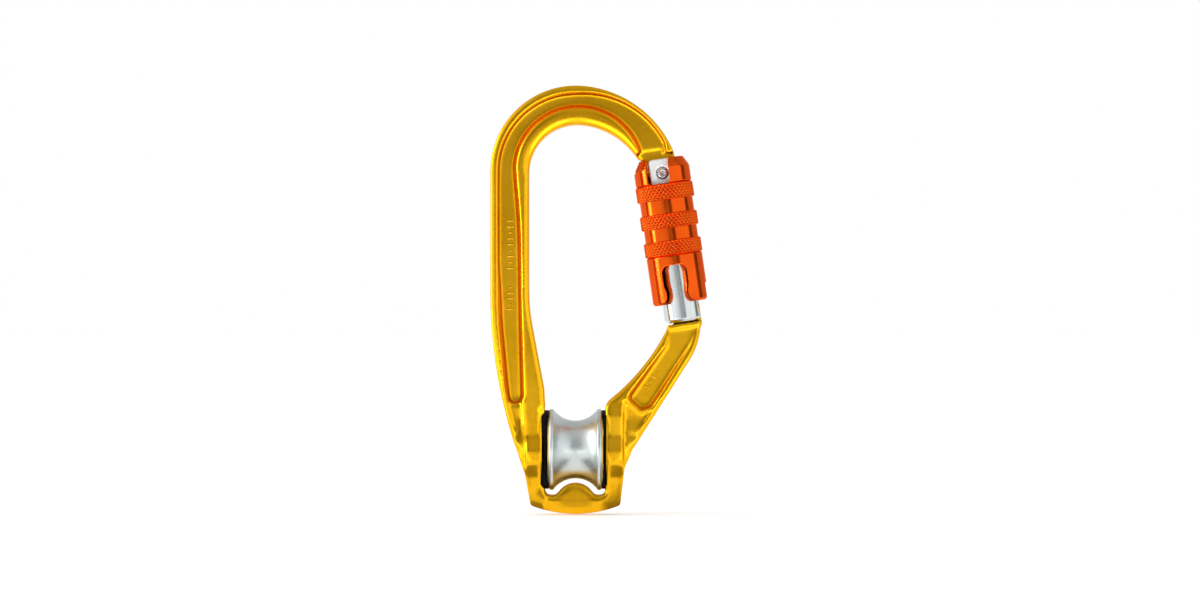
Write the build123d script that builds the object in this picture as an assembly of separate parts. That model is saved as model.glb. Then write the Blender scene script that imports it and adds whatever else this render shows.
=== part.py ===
"""Rope pulley built into a locking carabiner: a forged aluminium frame that holds a grooved sheave between
two cheeks, closed by a spring-loaded gate with a pull, turn and open locking sleeve.

Frame of reference, in millimetres: the origin is the centre of the sheave, on the axle. +X runs along the
axle towards the gate, +Z is the load line up to the anchor bow, and Y is the depth of the forging, which is
the same on both sides of Y = 0. The gate group is drawn in its own frame: origin on the hinge pin, +X away
from the opening and +Z up the gate.
"""

from build123d import *

import os
from math import asin, cos, degrees, radians, sin, sqrt

# Frame forging
WEB_HALF = 2.5
TANG_HALF = 2.2
FLANGE_HALF = 6.0
TRIANGLE_HALF = 5.0
ARM_WEB_HALF = 2.8
POCKET_DRAFT = 17.0
CHEEK_LEFT = -9.45
CHEEK_RIGHT = 9.35
RECESS_LEFT, RECESS_R = -10.3, 12.5
SPINE_OUTER_X = -26.5
SPINE_INNER_X = -14.5
BOW_OUTER_C, BOW_OUTER_R = (0.2, 86.8), 26.7
BOW_INNER_C, BOW_INNER_R = (0.6, 86.35), 15.1
RISE_OUTER_R, RISE_INNER_R = 33.85, 23.3
RISE_ANGLE = 84.0
SPINE_SWEEP_R, SPINE_SWEEP_TOP = 152.4, 49.0
ELBOW_C, ELBOW_R = (17.1, 39.8), 22.0
ARM_SLOPE = 32.5
ARM_LENGTH = 33.2
ARM_INNER_C, ARM_INNER_R = (-30.8, 67.5), 66.5
FOOT_C, FOOT_R, FOOT_CORNER_X = (0.0, 18.05), 38.0, 14.0
BUMP_C, BUMP_R = (0.0, -16.7), 6.3
VALLEY_Z, VALLEY_R = -14.2, 1.6

# Sheave, bearings and axle
SHEAVE_GROOVE_R = 9.05
SHEAVE_RIM_R = 12.7
SHEAVE_HALF_W = 8.6
GROOVE_ARC_R = 8.5
AXLE_R = 3.49
AXLE_HEAD_R, AXLE_HEAD_T = 4.2, 1.5
AXLE_SEAT_X = 13.6
BEARING_BORE_R, BEARING_OUTER_R = 3.5, 7.0
BEARING_INNER_X, BEARING_W = 3.4, 5.0
BALL_R, BALL_PITCH_R, BALL_COUNT = 1.0, 5.25, 10
RACE_GAP = 0.02
WASHER_R = 12.3
WASHER_FACE_X = 8.75
WASHER_HALF = 5.8

# Gate and sleeve, measured along the gate from the hinge
HINGE = (27.1, 86.2)
GATE_TILT = 8.34
GATE_TOP, GATE_END = 4.5, -46.7
GATE_R = 5.9
EAR_HALF_W, EAR_FACE_Y = 3.9, 5.3
EAR_FOOT = -4.4
SHANK_R = 4.4
FORK_HALF, FORK_FLOOR = 2.35, -5.4
SHOULDER = -22.0
EYE_R, HEEL_FLAT = 4.6, -3.9
RIVET_R, RIVET_HEAD_R = 1.5, 1.75
PLUNGER_R, PLUNGER_TOP, PLUNGER_END = 1.55, -4.0, -9.5
SPRING_BORE_R, SPRING_BORE_END = 1.7, -21.6
KEY_Z, KEY_R, KEY_NECK = -43.15, 2.9, 1.9
KEY_INNER, NOSE_INNER, NOSE_OUTER = -3.6, -3.2, 5.5
NOSE_Z, NOSE_R, NOSE_NECK = -43.3, 2.35, 1.6
GUIDE_PIN_R, GUIDE_PIN_Z, GUIDE_PIN_ANGLE, GUIDE_PIN_REACH = 0.8, -25.2, 150.0, 6.75
SLEEVE_TOP, SLEEVE_END = 4.65, -40.8
SLEEVE_R, BAND_R, WAIST_R = 8.75, 8.7, 8.3
SLEEVE_MOUTH_R, CHAMBER_R, SLEEVE_BORE_R = 6.8, 7.0, 6.15
CHAMBER_TOP, CHAMBER_END = -4.5, -23.0
BANDS = ((-3.4, -8.4), (-12.6, -17.2), (-21.0, -25.65))
SLOT_TURN, SLOT_HALF, SLOT_FLOOR = -11.0, 3.45, -3.25
ARCH_TURN, ARCH_MOUTH, ARCH_HEAD, ARCH_TOP = -6.0, 3.3, 3.85, -28.8
SLEEVE_TURN = 80.0
COLLAR_TOP, COLLAR_T, COLLAR_INNER_R = -4.6, 2.4, 4.6


def face_of(edges):
    """A face in the XZ plane from a closed loop of edges."""
    return Plane.XZ * make_face(Curve() + edges)


def polygon(points):
    """A face in the XZ plane from corner points."""
    return Plane.XZ * make_face(Polyline(*points, close=True))


def slab(face, half):
    """A face in the XZ plane, thickened evenly to both sides of Y = 0."""
    return extrude(face, amount=half, both=True)


def polar(centre, radius, angle):
    """Point on a circle, the angle in degrees."""
    return (centre[0] + radius * cos(radians(angle)), centre[1] + radius * sin(radians(angle)))


def arc(centre, radius, start, end):
    """Arc from one angle to another, in degrees."""
    first, middle, last = (polar(centre, radius, a) for a in (start, (start + end) / 2, end))
    return ThreePointArc(first, middle, last)


def corner_arc(centre, radius, start):
    """Quarter circle, anticlockwise from the start angle."""
    return arc(centre, radius, start, start + 90)


def gate_point(across, along):
    """A point of the gate's own frame, in the XZ plane of the part."""
    t = radians(GATE_TILT)
    return (HINGE[0] + across * cos(t) - along * sin(t), HINGE[1] + across * sin(t) + along * cos(t))


def spun(points, axis=Axis.Z):
    """Full revolution of a profile given as (radius, height) corners."""
    return revolve(polygon(points), axis)


RISE_OUTER_C = polar(BOW_OUTER_C, RISE_OUTER_R - BOW_OUTER_R, RISE_ANGLE + 180)
RISE_INNER_C = polar(BOW_INNER_C, RISE_INNER_R - BOW_INNER_R, RISE_ANGLE + 180)
SWEEP_C = (SPINE_OUTER_X + SPINE_SWEEP_R, SPINE_SWEEP_TOP)
GATE_PLACE = Location((HINGE[0], 0, HINGE[1]), (0, -GATE_TILT, 0))


def outer_contour():
    """Edges round the outside: bow, spine, foot, arm and elbow, ending at the gate's nose."""
    foot = -degrees(asin(sqrt(1 - (FOOT_CORNER_X / FOOT_R) ** 2)))
    left_waist = (-15.75, -7.6)
    right_waist = (15.35, -5.6)
    slope = radians(ARM_SLOPE)
    elbow = polar(ELBOW_C, ELBOW_R, -ARM_SLOPE)
    arm_low = (elbow[0] - ARM_LENGTH * sin(slope), elbow[1] - ARM_LENGTH * cos(slope))
    return [
        Line(gate_point(4.4, 2.0), polar(RISE_OUTER_C, RISE_OUTER_R, 22)),
        arc(RISE_OUTER_C, RISE_OUTER_R, 22, RISE_ANGLE),
        arc(BOW_OUTER_C, BOW_OUTER_R, RISE_ANGLE, 180),
        Line((SPINE_OUTER_X, BOW_OUTER_C[1]), (SPINE_OUTER_X, SPINE_SWEEP_TOP)),
        arc(SWEEP_C, SPINE_SWEEP_R, 180, 198.6),
        Line(polar(SWEEP_C, SPINE_SWEEP_R, 198.6), left_waist),
        Line(left_waist, polar(FOOT_C, FOOT_R, -180 - foot)),
        arc(FOOT_C, FOOT_R, -180 - foot, foot),
        Line(polar(FOOT_C, FOOT_R, foot), right_waist),
        Line(right_waist, arm_low),
        Line(arm_low, elbow),
        arc(ELBOW_C, ELBOW_R, -ARM_SLOPE, 0.3),
        Line(polar(ELBOW_C, ELBOW_R, 0.3), gate_point(5.1, GATE_END - 0.5)),
    ]


def inner_contour():
    """Edges round the inside: nose, arm, cheeks and bridge, then up the spine and round the bow."""
    left, right, low, r = CHEEK_LEFT, CHEEK_RIGHT, VALLEY_Z, VALLEY_R
    bump = degrees(asin((low + 0.8 - BUMP_C[1]) / BUMP_R))
    bump_right = polar(BUMP_C, BUMP_R, bump)
    bump_left = polar(BUMP_C, BUMP_R, 180 - bump)
    cheek_top = (-9.75, 19.0)
    spine_bend = (-13.3, 37.8)
    return [
        Line(gate_point(5.1, GATE_END - 0.5), gate_point(-5.2, GATE_END - 0.5)),
        Line(gate_point(-5.2, GATE_END - 0.5), polar(ARM_INNER_C, ARM_INNER_R, -26.6)),
        arc(ARM_INNER_C, ARM_INNER_R, -26.6, -51.8),
        Line(polar(ARM_INNER_C, ARM_INNER_R, -51.8), (right, 13.6)),
        Line((right, 13.6), (right, low + r)),
        arc((right - r, low + r), r, 0, -90),
        Line((right - r, low), (bump_right[0] + 0.9, low)),
        Line((bump_right[0] + 0.9, low), bump_right),
        arc(BUMP_C, BUMP_R, bump, 180 - bump),
        Line(bump_left, (bump_left[0] - 0.9, low)),
        Line((bump_left[0] - 0.9, low), (left + r, low)),
        arc((left + r, low + r), r, 270, 180),
        Line((left, low + r), (left, 14.0)),
        Line((left, 14.0), cheek_top),
        Line(cheek_top, spine_bend),
        Bezier(spine_bend, (-14.2, 42.2), (SPINE_INNER_X, 46.0), (SPINE_INNER_X, 50.0)),
        Line((SPINE_INNER_X, 50.0), (SPINE_INNER_X, BOW_INNER_C[1])),
        arc(BOW_INNER_C, BOW_INNER_R, 180, RISE_ANGLE),
        arc(RISE_INNER_C, RISE_INNER_R, RISE_ANGLE, 32),
        Line(polar(RISE_INNER_C, RISE_INNER_R, 32), gate_point(-4.4, 3.8)),
        Line(gate_point(-4.4, 3.8), gate_point(-4.4, 1.3)),
    ]


def tang_end():
    """Edges round the hinge eye, with the flat heel that the gate's plunger bears on."""
    t = GATE_TILT
    side = degrees(asin(1.3 / EYE_R))
    heel = degrees(asin(HEEL_FLAT / EYE_R))
    ends = [polar(HINGE, EYE_R, t + a) for a in (180 - side, 180 - heel, heel, side)]
    return [
        Line(gate_point(-4.4, 1.3), ends[0]),
        arc(HINGE, EYE_R, t + 180 - side, t + 180 - heel),
        Line(ends[1], ends[2]),
        arc(HINGE, EYE_R, t + heel, t + side),
        Line(ends[3], gate_point(4.4, 2.0)),
    ]


def side_mask(profile, x_low, x_high):
    """Solid between two X stations whose half depth at each height is given as (half depth, height) pairs."""
    loop = profile + [(-y, z) for y, z in reversed(profile)]
    face = Plane.YZ * make_face(Polyline(*loop, close=True))
    return Pos(x_low, 0, 0) * extrude(face, amount=x_high - x_low)


def both_sides(face, floor, draft=0.0):
    """Cutter for a pocket on the front and the back, down to a web of the given half thickness."""
    cut = Pos(0, -floor, 0) * extrude(face, amount=6.5, taper=-draft)
    return cut + mirror(cut, Plane.XZ)


def spine_groove():
    """The long groove round the bow and down the spine, open at the tang."""
    return face_of(
        [
            arc(BOW_OUTER_C, 23.3, 180, 90),
            ThreePointArc((0.2, 110.1), (15.0, 107.3), gate_point(1.2, 9.0)),
            Line(gate_point(1.2, 9.0), gate_point(1.2, 3.0)),
            Line(gate_point(1.2, 3.0), gate_point(-5.5, 3.0)),
            Line(gate_point(-5.5, 3.0), gate_point(-5.5, 8.0)),
            ThreePointArc(gate_point(-5.5, 8.0), (12.6, 103.8), (0.6, 107.4)),
            ThreePointArc((0.6, 107.4), (-13.6, 101.4), (-19.4, 87.6)),
            Bezier((-19.4, 87.6), (-18.9, 80.0), (-18.0, 74.0), (-17.9, 62.0)),
            Line((-17.9, 62.0), (-17.6, 40.0)),
            Line((-17.6, 40.0), (-17.0, 17.5)),
            ThreePointArc((-17.0, 17.5), (-18.9, 15.0), (-20.8, 17.5)),
            Line((-20.8, 17.5), (-23.0, 42.0)),
            Line((-23.0, 42.0), (-23.1, 86.8)),
        ]
    )


def groove_edge():
    """The steeper outer side of the long groove, which fades out down the spine."""
    return face_of(
        [
            arc(BOW_OUTER_C, 24.2, 180, 90),
            ThreePointArc((0.2, 111.0), (15.3, 108.1), gate_point(2.2, 9.2)),
            Line(gate_point(2.2, 9.2), gate_point(2.2, 3.0)),
            Line(gate_point(2.2, 3.0), gate_point(0.0, 3.0)),
            Line(gate_point(0.0, 3.0), gate_point(0.0, 9.0)),
            ThreePointArc(gate_point(0.0, 9.0), (14.2, 105.6), (0.2, 108.8)),
            arc(BOW_OUTER_C, 22.0, 90, 180),
            Line((-21.8, 86.8), (-21.8, 40.0)),
            Line((-21.8, 40.0), (-22.6, 34.0)),
            Line((-22.6, 34.0), (-24.0, 58.0)),
            Line((-24.0, 58.0), (-24.0, 86.8)),
        ]
    )


def spine_triangle():
    """The shallow flat between the groove's end and the left cheek."""
    return polygon([(-17.0, 20.0), (-16.6, 8.0), (-16.6, 0.6), (-19.3, 8.0), (-21.4, 16.0), (-21.6, 20.0)])


def arm_pocket():
    """The pocket down the arm, which runs out flush towards the nose."""
    ends = [gate_point(4.0, GATE_END - 2.0), gate_point(-5.5, GATE_END - 2.0)]
    foot = [(35.6, 32.7), (23.2, 13.9), (20.6, 13.1), (17.2, 16.1), (17.6, 17.2), (28.6, 32.7)]
    return polygon(foot + [ends[1], ends[0]])


def arm_triangle():
    """The shallow flat between the pocket, the right cheek and the arm's outer rim."""
    return polygon([(15.2, 14.9), (15.2, 1.2), (16.4, 1.2), (23.9, 12.5), (20.3, 11.6), (16.3, 15.0)])


def frame_nose():
    """The keyhole-shaped nose that the gate's slot closes over."""
    length = NOSE_OUTER - NOSE_INNER
    bulb = Pos(0, 0, NOSE_Z) * Rot(0, 90, 0) * Cylinder(NOSE_R, length)
    neck = Pos(0, 0, (NOSE_Z + GATE_END - 2.0) / 2) * Box(length, 2 * NOSE_NECK, NOSE_Z - GATE_END + 2.0)
    return GATE_PLACE * (Pos((NOSE_INNER + NOSE_OUTER) / 2, 0, 0) * (bulb + neck))


def frame():
    whole = face_of(outer_contour() + inner_contour() + tang_end())
    boss = [(5.0, -20.5), (6.3, -7.4), (7.6, -4.3), (7.6, 0.2), (6.3, 3.9)]
    left_side = boss + [(6.2, 17.0), (6.0, 50.0)]
    right_side = boss + [(6.3, 11.2), (5.95, 11.9), (5.95, 13.3), (5.6, 14.2), (5.6, 50.0)]
    arm_side = [(5.0, -20.5), (5.6, 0.0), (5.6, 16.0), (3.1, 37.0), (3.1, 60.0)]
    left_bar = [(-17.0, 50.0), (-16.0, 31.0), (-15.4, -5.8), (-15.0, -25.0), (0.0, -25.0), (0.0, 50.0)]
    right_bar = [(0.0, -25.0), (14.8, -25.0), (14.9, -5.0), (14.9, 13.4), (13.2, 16.0), (0.0, 16.0)]
    arm = [(13.0, -25.0), (45.0, -25.0), (45.0, 48.0), (0.0, 48.0), (0.0, 14.0), (13.0, 14.0)]
    spine = [(-30.0, -25.0), (-10.0, -25.0), (-10.0, 50.0), (5.0, 70.0), (45.0, 70.0)]
    spine += [(45.0, 120.0), (-30.0, 120.0)]
    bars = slab(whole, 8.0) & slab(polygon(left_bar), 9) & side_mask(left_side, -30, 0)
    bars += slab(whole, 8.0) & slab(polygon(right_bar), 9) & side_mask(right_side, 0, 30)
    arm_solid = slab(whole, 8.0) & slab(polygon(arm), 9) & side_mask(arm_side, 0, 50)
    arm_solid -= both_sides(arm_pocket(), ARM_WEB_HALF, POCKET_DRAFT)
    arm_solid -= both_sides(arm_triangle(), TRIANGLE_HALF, POCKET_DRAFT)
    spine_solid = slab(whole, FLANGE_HALF) & slab(polygon(spine), 9)
    spine_solid -= both_sides(spine_groove(), WEB_HALF, POCKET_DRAFT)
    spine_solid -= both_sides(groove_edge(), WEB_HALF)
    spine_solid -= both_sides(spine_triangle(), TRIANGLE_HALF, POCKET_DRAFT)
    body = bars + arm_solid + spine_solid + frame_nose()
    ends = [(-14, -10), (-14, 3.0), (-8.2, 6.15), (-5.6, 7.75), (1.0, 7.75), (1.0, 6.1), (7, 6.1), (7, -10)]
    body -= both_sides(polygon([gate_point(*p) for p in ends]), TANG_HALF)
    recess = Rot(0, 90, 0) * Cylinder(RECESS_R, CHEEK_LEFT - RECESS_LEFT + 2)
    body -= Pos((RECESS_LEFT + CHEEK_LEFT) / 2 + 1, 0, 0) * recess
    hole = Rot(0, 90, 0) * Cylinder(AXLE_R + 0.01, 60)
    counterbore = Rot(0, 90, 0) * Cylinder(AXLE_HEAD_R + 0.15, 10)
    body -= hole + Pos(AXLE_SEAT_X + 5, 0, 0) * counterbore + Pos(-AXLE_SEAT_X - 5, 0, 0) * counterbore
    return body - GATE_PLACE * (Rot(90, 0, 0) * Cylinder(RIVET_R + 0.05, 10))


def axle():
    """Fixed axle, headed over in a counterbore at each end."""
    x, r, head, t = AXLE_SEAT_X, AXLE_R, AXLE_HEAD_R, AXLE_HEAD_T
    half = [(0, 0), (0, r), (x, r), (x, head), (x + t - 0.4, head), (x + t, head - 0.5), (x + t, 0)]
    solid = revolve(polygon(half), Axis.X)
    return solid + mirror(solid, Plane.YZ)


def sheave():
    centre_r = SHEAVE_GROOVE_R + GROOVE_ARC_R
    lip = degrees(asin((centre_r - SHEAVE_RIM_R) / GROOVE_ARC_R))
    right = polar((0, centre_r), GROOVE_ARC_R, -lip)
    left = (-right[0], right[1])
    w, rim = SHEAVE_HALF_W, SHEAVE_RIM_R
    profile = [
        ThreePointArc(left, (0, SHEAVE_GROOVE_R), right),
        Line(right, (w - 0.85, rim)),
        Line((w - 0.85, rim), (w - 0.5, rim - 0.25)),
        Line((w - 0.5, rim - 0.25), (w, rim - 1.6)),
        Line((w, rim - 1.6), (w, BEARING_OUTER_R)),
        Line((w, BEARING_OUTER_R), (BEARING_INNER_X, BEARING_OUTER_R)),
        Line((BEARING_INNER_X, BEARING_OUTER_R), (BEARING_INNER_X, 6.2)),
        Line((BEARING_INNER_X, 6.2), (-BEARING_INNER_X, 6.2)),
        Line((-BEARING_INNER_X, 6.2), (-BEARING_INNER_X, BEARING_OUTER_R)),
        Line((-BEARING_INNER_X, BEARING_OUTER_R), (-w, BEARING_OUTER_R)),
        Line((-w, BEARING_OUTER_R), (-w, rim - 1.6)),
        Line((-w, rim - 1.6), (0.5 - w, rim - 0.25)),
        Line((0.5 - w, rim - 0.25), (0.85 - w, rim)),
        Line((0.85 - w, rim), left),
    ]
    return revolve(face_of(profile), Axis.X)


def race(r_low, r_high):
    """A bearing ring at the left or right, given as radii, with its ball track."""
    x0, x1 = BEARING_INNER_X, BEARING_INNER_X + BEARING_W
    ring = revolve(polygon([(x0, r_low), (x1, r_low), (x1, r_high), (x0, r_high)]), Axis.X)
    track = Pos((x0 + x1) / 2, 0, 0) * Rot(0, 90, 0) * Torus(BALL_PITCH_R, BALL_R + RACE_GAP)
    return ring - track


def balls():
    x = BEARING_INNER_X + BEARING_W / 2
    places = [polar((0, 0), BALL_PITCH_R, 360 * i / BALL_COUNT) for i in range(BALL_COUNT)]
    return Compound([Pos(x, y, z) * Sphere(BALL_R) for y, z in places])


def seals():
    """The two thin shields of a bearing, held by its outer ring."""
    x0, x1 = BEARING_INNER_X + 0.15, BEARING_INNER_X + BEARING_W - 0.15
    rings = []
    for a, b in ((x0, x0 + 0.35), (x1 - 0.35, x1)):
        rings.append(revolve(polygon([(a, 4.66), (b, 4.66), (b, 5.9), (a, 5.9)]), Axis.X))
    return Compound(rings)


def spacer():
    x = BEARING_INNER_X
    return revolve(polygon([(-x, BEARING_BORE_R), (x, BEARING_BORE_R), (x, 4.5), (-x, 4.5)]), Axis.X)


def side_washer(wall):
    """Wear disc between the sheave and a cheek, cut off flush with it, with a hub on the inner ring."""
    hub = BEARING_INNER_X + BEARING_W
    points = [(hub, BEARING_BORE_R), (wall, BEARING_BORE_R), (wall, WASHER_R), (WASHER_FACE_X, WASHER_R)]
    disc = revolve(polygon(points + [(WASHER_FACE_X, 4.4), (hub, 4.4)]), Axis.X)
    return disc & Box(40, 2 * WASHER_HALF, 40)


def gate_body():
    """Forked gate: two ears on the hinge, a shank under the locking sleeve and a slotted nose."""
    low, high = GATE_END, SHOULDER
    nose = spun([(0, low), (GATE_R - 0.9, low), (GATE_R, low + 0.9), (GATE_R, high), (0, high)])
    shank = Pos(0, 0, (SHOULDER + EAR_FOOT) / 2) * Cylinder(SHANK_R, EAR_FOOT - SHOULDER)
    w, top, r = EAR_HALF_W, GATE_TOP, 1.4
    ear = [
        Line((-w, EAR_FOOT), (w, EAR_FOOT)),
        Line((w, EAR_FOOT), (w, top - r)),
        corner_arc((w - r, top - r), r, 0),
        Line((w - r, top), (r - w, top)),
        corner_arc((r - w, top - r), r, 90),
        Line((-w, top - r), (-w, EAR_FOOT)),
    ]
    body = nose + shank + slab(face_of(ear), EAR_FACE_Y)
    body -= Pos(0, 0, FORK_FLOOR + 10) * Box(20, 2 * FORK_HALF, 20)
    body -= Rot(90, 0, 0) * Cylinder(RIVET_R, 20)
    for side in (-1, 1):
        body -= Pos(0, side * EAR_FACE_Y, 0) * Rot(90, 0, 0) * Cylinder(RIVET_HEAD_R + 0.25, 0.9)
    bore = Cylinder(SPRING_BORE_R, FORK_FLOOR - SPRING_BORE_END)
    body -= Pos(0, 0, (FORK_FLOOR + SPRING_BORE_END) / 2) * bore
    body -= Pos(KEY_INNER + 6, 0, KEY_Z) * Rot(0, 90, 0) * Cylinder(KEY_R, 12)
    body -= Pos(KEY_INNER + 6, 0, KEY_Z - 3) * Box(12, 2 * KEY_NECK, 6)
    return body - guide_pin()


def guide_pin():
    root = 3.2
    pin = Rot(0, 90, 0) * Cylinder(GUIDE_PIN_R, GUIDE_PIN_REACH - root)
    return Rot(0, 0, GUIDE_PIN_ANGLE) * Pos((root + GUIDE_PIN_REACH) / 2, 0, GUIDE_PIN_Z) * pin


def hinge_rivet():
    """Rivet through the ears, with a low domed head sunk in each."""
    seat, r, head = EAR_FACE_Y - 0.45, RIVET_R, RIVET_HEAD_R
    half = [(0, 0), (r, 0), (r, seat), (head, seat), (head, seat + 0.45)]
    half += [(head - 0.5, seat + 0.75), (0, seat + 0.8)]
    solid = Rot(90, 0, 0) * spun(half)
    return solid + mirror(solid, Plane.XZ)


def gate_plunger():
    r, top, end = PLUNGER_R, PLUNGER_TOP, PLUNGER_END
    return spun([(0, top), (r - 0.5, top), (r, top - 0.5), (r, end), (0, end)])


def coil(mean_r, wire_r, low, high, turns):
    """Round-wire coil spring about the gate's axis."""
    rise = high - low - 2 * wire_r
    path = Pos(0, 0, low + wire_r) * Helix(pitch=rise / turns, height=rise, radius=mean_r)
    section = Plane(origin=path @ 0, z_dir=path % 0) * Circle(wire_r)
    return sweep(section, path=path, is_frenet=True)


def sleeve_blank():
    """Turned outside of the sleeve, with its three raised grip bands, over its stepped bore."""
    outside = [(SLEEVE_MOUTH_R, SLEEVE_TOP), (7.1, SLEEVE_TOP), (8.65, 1.9), (SLEEVE_R, 1.3)]
    for high, low in BANDS:
        before = SLEEVE_R if high == BANDS[0][0] else WAIST_R
        after = SLEEVE_R if high == BANDS[-1][0] else WAIST_R
        outside += [(before, high), (BAND_R, high), (BAND_R, low), (after, low)]
    outside += [(SLEEVE_R, SLEEVE_END + 0.7), (SLEEVE_R - 0.7, SLEEVE_END), (SLEEVE_BORE_R + 0.3, SLEEVE_END)]
    bore = [(SLEEVE_BORE_R, SLEEVE_END + 0.3), (SLEEVE_BORE_R, CHAMBER_END), (CHAMBER_R, CHAMBER_END)]
    bore += [(CHAMBER_R, CHAMBER_TOP), (SLEEVE_MOUTH_R, CHAMBER_TOP)]
    return spun(outside + bore)


def top_slot():
    """Slot through the hinge end, front and back, with rounded corners at its floor."""
    w, z, r = SLOT_HALF, SLOT_FLOOR, 0.9
    edges = [
        Line((-w, SLEEVE_TOP + 5), (-w, z + r)),
        arc((r - w, z + r), r, 180, 270),
        Line((r - w, z), (w - r, z)),
        arc((w - r, z + r), r, 270, 360),
        Line((w, z + r), (w, SLEEVE_TOP + 5)),
        Line((w, SLEEVE_TOP + 5), (-w, SLEEVE_TOP + 5)),
    ]
    return Rot(0, 0, SLOT_TURN) * slab(face_of(edges), 12)


def arch_slot():
    """Keyhole arch through the nose end, front and back: a wide head over a narrower mouth."""
    head, mouth, top, end = ARCH_HEAD, ARCH_MOUTH, ARCH_TOP, SLEEVE_END
    right = [
        Line((0, top), (head - 2.2, top)),
        arc((head - 2.2, top - 2.2), 2.2, 90, 0),
        Line((head, top - 2.2), (head, top - 5.4)),
        Bezier((head, top - 5.4), (head, top - 7.2), (mouth, top - 7.2), (mouth, top - 9.0)),
        Bezier((mouth, top - 9.0), (mouth, end + 0.8), (mouth + 1.6, end + 0.5), (mouth + 1.9, end)),
        Line((mouth + 1.9, end), (mouth + 1.9, end - 3)),
        Line((mouth + 1.9, end - 3), (0, end - 3)),
        Line((0, end - 3), (0, top)),
    ]
    half = face_of(right)
    return Rot(0, 0, ARCH_TURN) * slab(half + mirror(half, Plane.YZ), 12)


def sleeve():
    """Locking sleeve with its slots, hinge and nose reliefs and the pocket that the guide pin runs in."""
    body = sleeve_blank() - top_slot() - arch_slot()
    body -= Pos(-9, 0, SLEEVE_TOP) * Box(8, 5.0, 2 * (SLEEVE_TOP - 0.9))
    body -= Pos(9, 0, SLEEVE_END) * Box(8, 5.6, 2 * 5.2)
    low, high = GUIDE_PIN_Z - 1.1, CHAMBER_END + 0.5
    pocket = [(5.5, low), (CHAMBER_R, low), (CHAMBER_R, high), (5.5, high)]
    sector = revolve(polygon(pocket), Axis.Z, revolution_arc=SLEEVE_TURN + 20)
    return body - Rot(0, 0, GUIDE_PIN_ANGLE - 10) * sector


def sleeve_collar():
    """Split ring that carries the sleeve on the shank and takes the return spring."""
    r0, r1, top = COLLAR_INNER_R, CHAMBER_R - 0.1, COLLAR_TOP
    ring = spun([(r0, top), (r1, top), (r1, top - COLLAR_T), (r0, top - COLLAR_T)])
    return ring - Pos(6, 0, top) * Box(8, 3.0, 10)


def main():
    washer_left = mirror(side_washer(-RECESS_LEFT), Plane.YZ)
    nodes = {
        "frame": frame(),
        "axle": axle(),
        "sheave": sheave(),
        "bearing_spacer": spacer(),
        "side_washer_left": washer_left,
        "side_washer_right": side_washer(CHEEK_RIGHT),
        "bearing_inner_ring_right": race(BEARING_BORE_R, 4.6),
        "bearing_outer_ring_right": race(5.9, BEARING_OUTER_R - 0.01),
        "bearing_balls_right": balls(),
        "bearing_seals_right": seals(),
    }
    for name in ("inner_ring", "outer_ring", "balls", "seals"):
        nodes[f"bearing_{name}_left"] = mirror(nodes[f"bearing_{name}_right"], Plane.YZ)
    gate_parts = {
        "gate_body": gate_body(),
        "hinge_rivet": hinge_rivet(),
        "guide_pin": guide_pin(),
        "gate_plunger": gate_plunger(),
        "gate_spring": coil(1.2, 0.18, SPRING_BORE_END + 0.05, PLUNGER_END - 0.05, 14),
        "sleeve": sleeve(),
        "sleeve_collar": sleeve_collar(),
        "sleeve_spring": coil(5.15, 0.4, SHOULDER + 0.05, COLLAR_TOP - COLLAR_T - 0.05, 7),
    }
    for name, solid in gate_parts.items():
        nodes[name] = GATE_PLACE * solid
    os.makedirs("parts", exist_ok=True)
    for name, solid in nodes.items():
        export_step(solid, f"parts/{name}.step")


if __name__ == "__main__":
    main()
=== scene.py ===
import math

import bmesh
import bpy
import numpy as np
from mathutils import Matrix, Vector, kdtree


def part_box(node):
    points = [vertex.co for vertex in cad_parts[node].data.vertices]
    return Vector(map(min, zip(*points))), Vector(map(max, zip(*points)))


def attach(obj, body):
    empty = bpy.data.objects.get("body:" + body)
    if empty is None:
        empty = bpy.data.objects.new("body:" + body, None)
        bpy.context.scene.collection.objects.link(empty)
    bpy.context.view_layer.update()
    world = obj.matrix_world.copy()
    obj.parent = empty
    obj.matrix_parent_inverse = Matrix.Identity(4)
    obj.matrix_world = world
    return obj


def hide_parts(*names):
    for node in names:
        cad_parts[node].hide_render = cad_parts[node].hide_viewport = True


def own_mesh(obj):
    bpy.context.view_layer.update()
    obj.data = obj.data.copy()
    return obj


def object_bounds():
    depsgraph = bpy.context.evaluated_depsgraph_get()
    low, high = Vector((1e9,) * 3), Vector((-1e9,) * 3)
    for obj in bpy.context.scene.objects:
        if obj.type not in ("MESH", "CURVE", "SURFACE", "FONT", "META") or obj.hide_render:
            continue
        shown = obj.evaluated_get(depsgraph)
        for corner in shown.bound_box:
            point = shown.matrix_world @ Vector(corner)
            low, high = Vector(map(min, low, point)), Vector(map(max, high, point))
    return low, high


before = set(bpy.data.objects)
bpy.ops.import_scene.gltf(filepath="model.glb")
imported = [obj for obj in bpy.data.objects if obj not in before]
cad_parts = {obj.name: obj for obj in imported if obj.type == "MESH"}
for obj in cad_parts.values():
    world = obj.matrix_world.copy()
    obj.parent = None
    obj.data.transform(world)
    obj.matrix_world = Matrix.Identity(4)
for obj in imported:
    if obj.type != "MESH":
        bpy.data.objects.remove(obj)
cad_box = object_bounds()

# Named sizes are in millimetres, and meshes, lights and the camera are in metres.
MM = 0.001
HINGE = Vector((27.1, 0.0, 86.2)) * MM
GATE_TILT = math.radians(8.34)
GATE_TO_ROW = Matrix.Translation(HINGE) @ Matrix.Rotation(-GATE_TILT, 4, "Y")


# ---------------------------------------------------------------- mesh helpers

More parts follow.
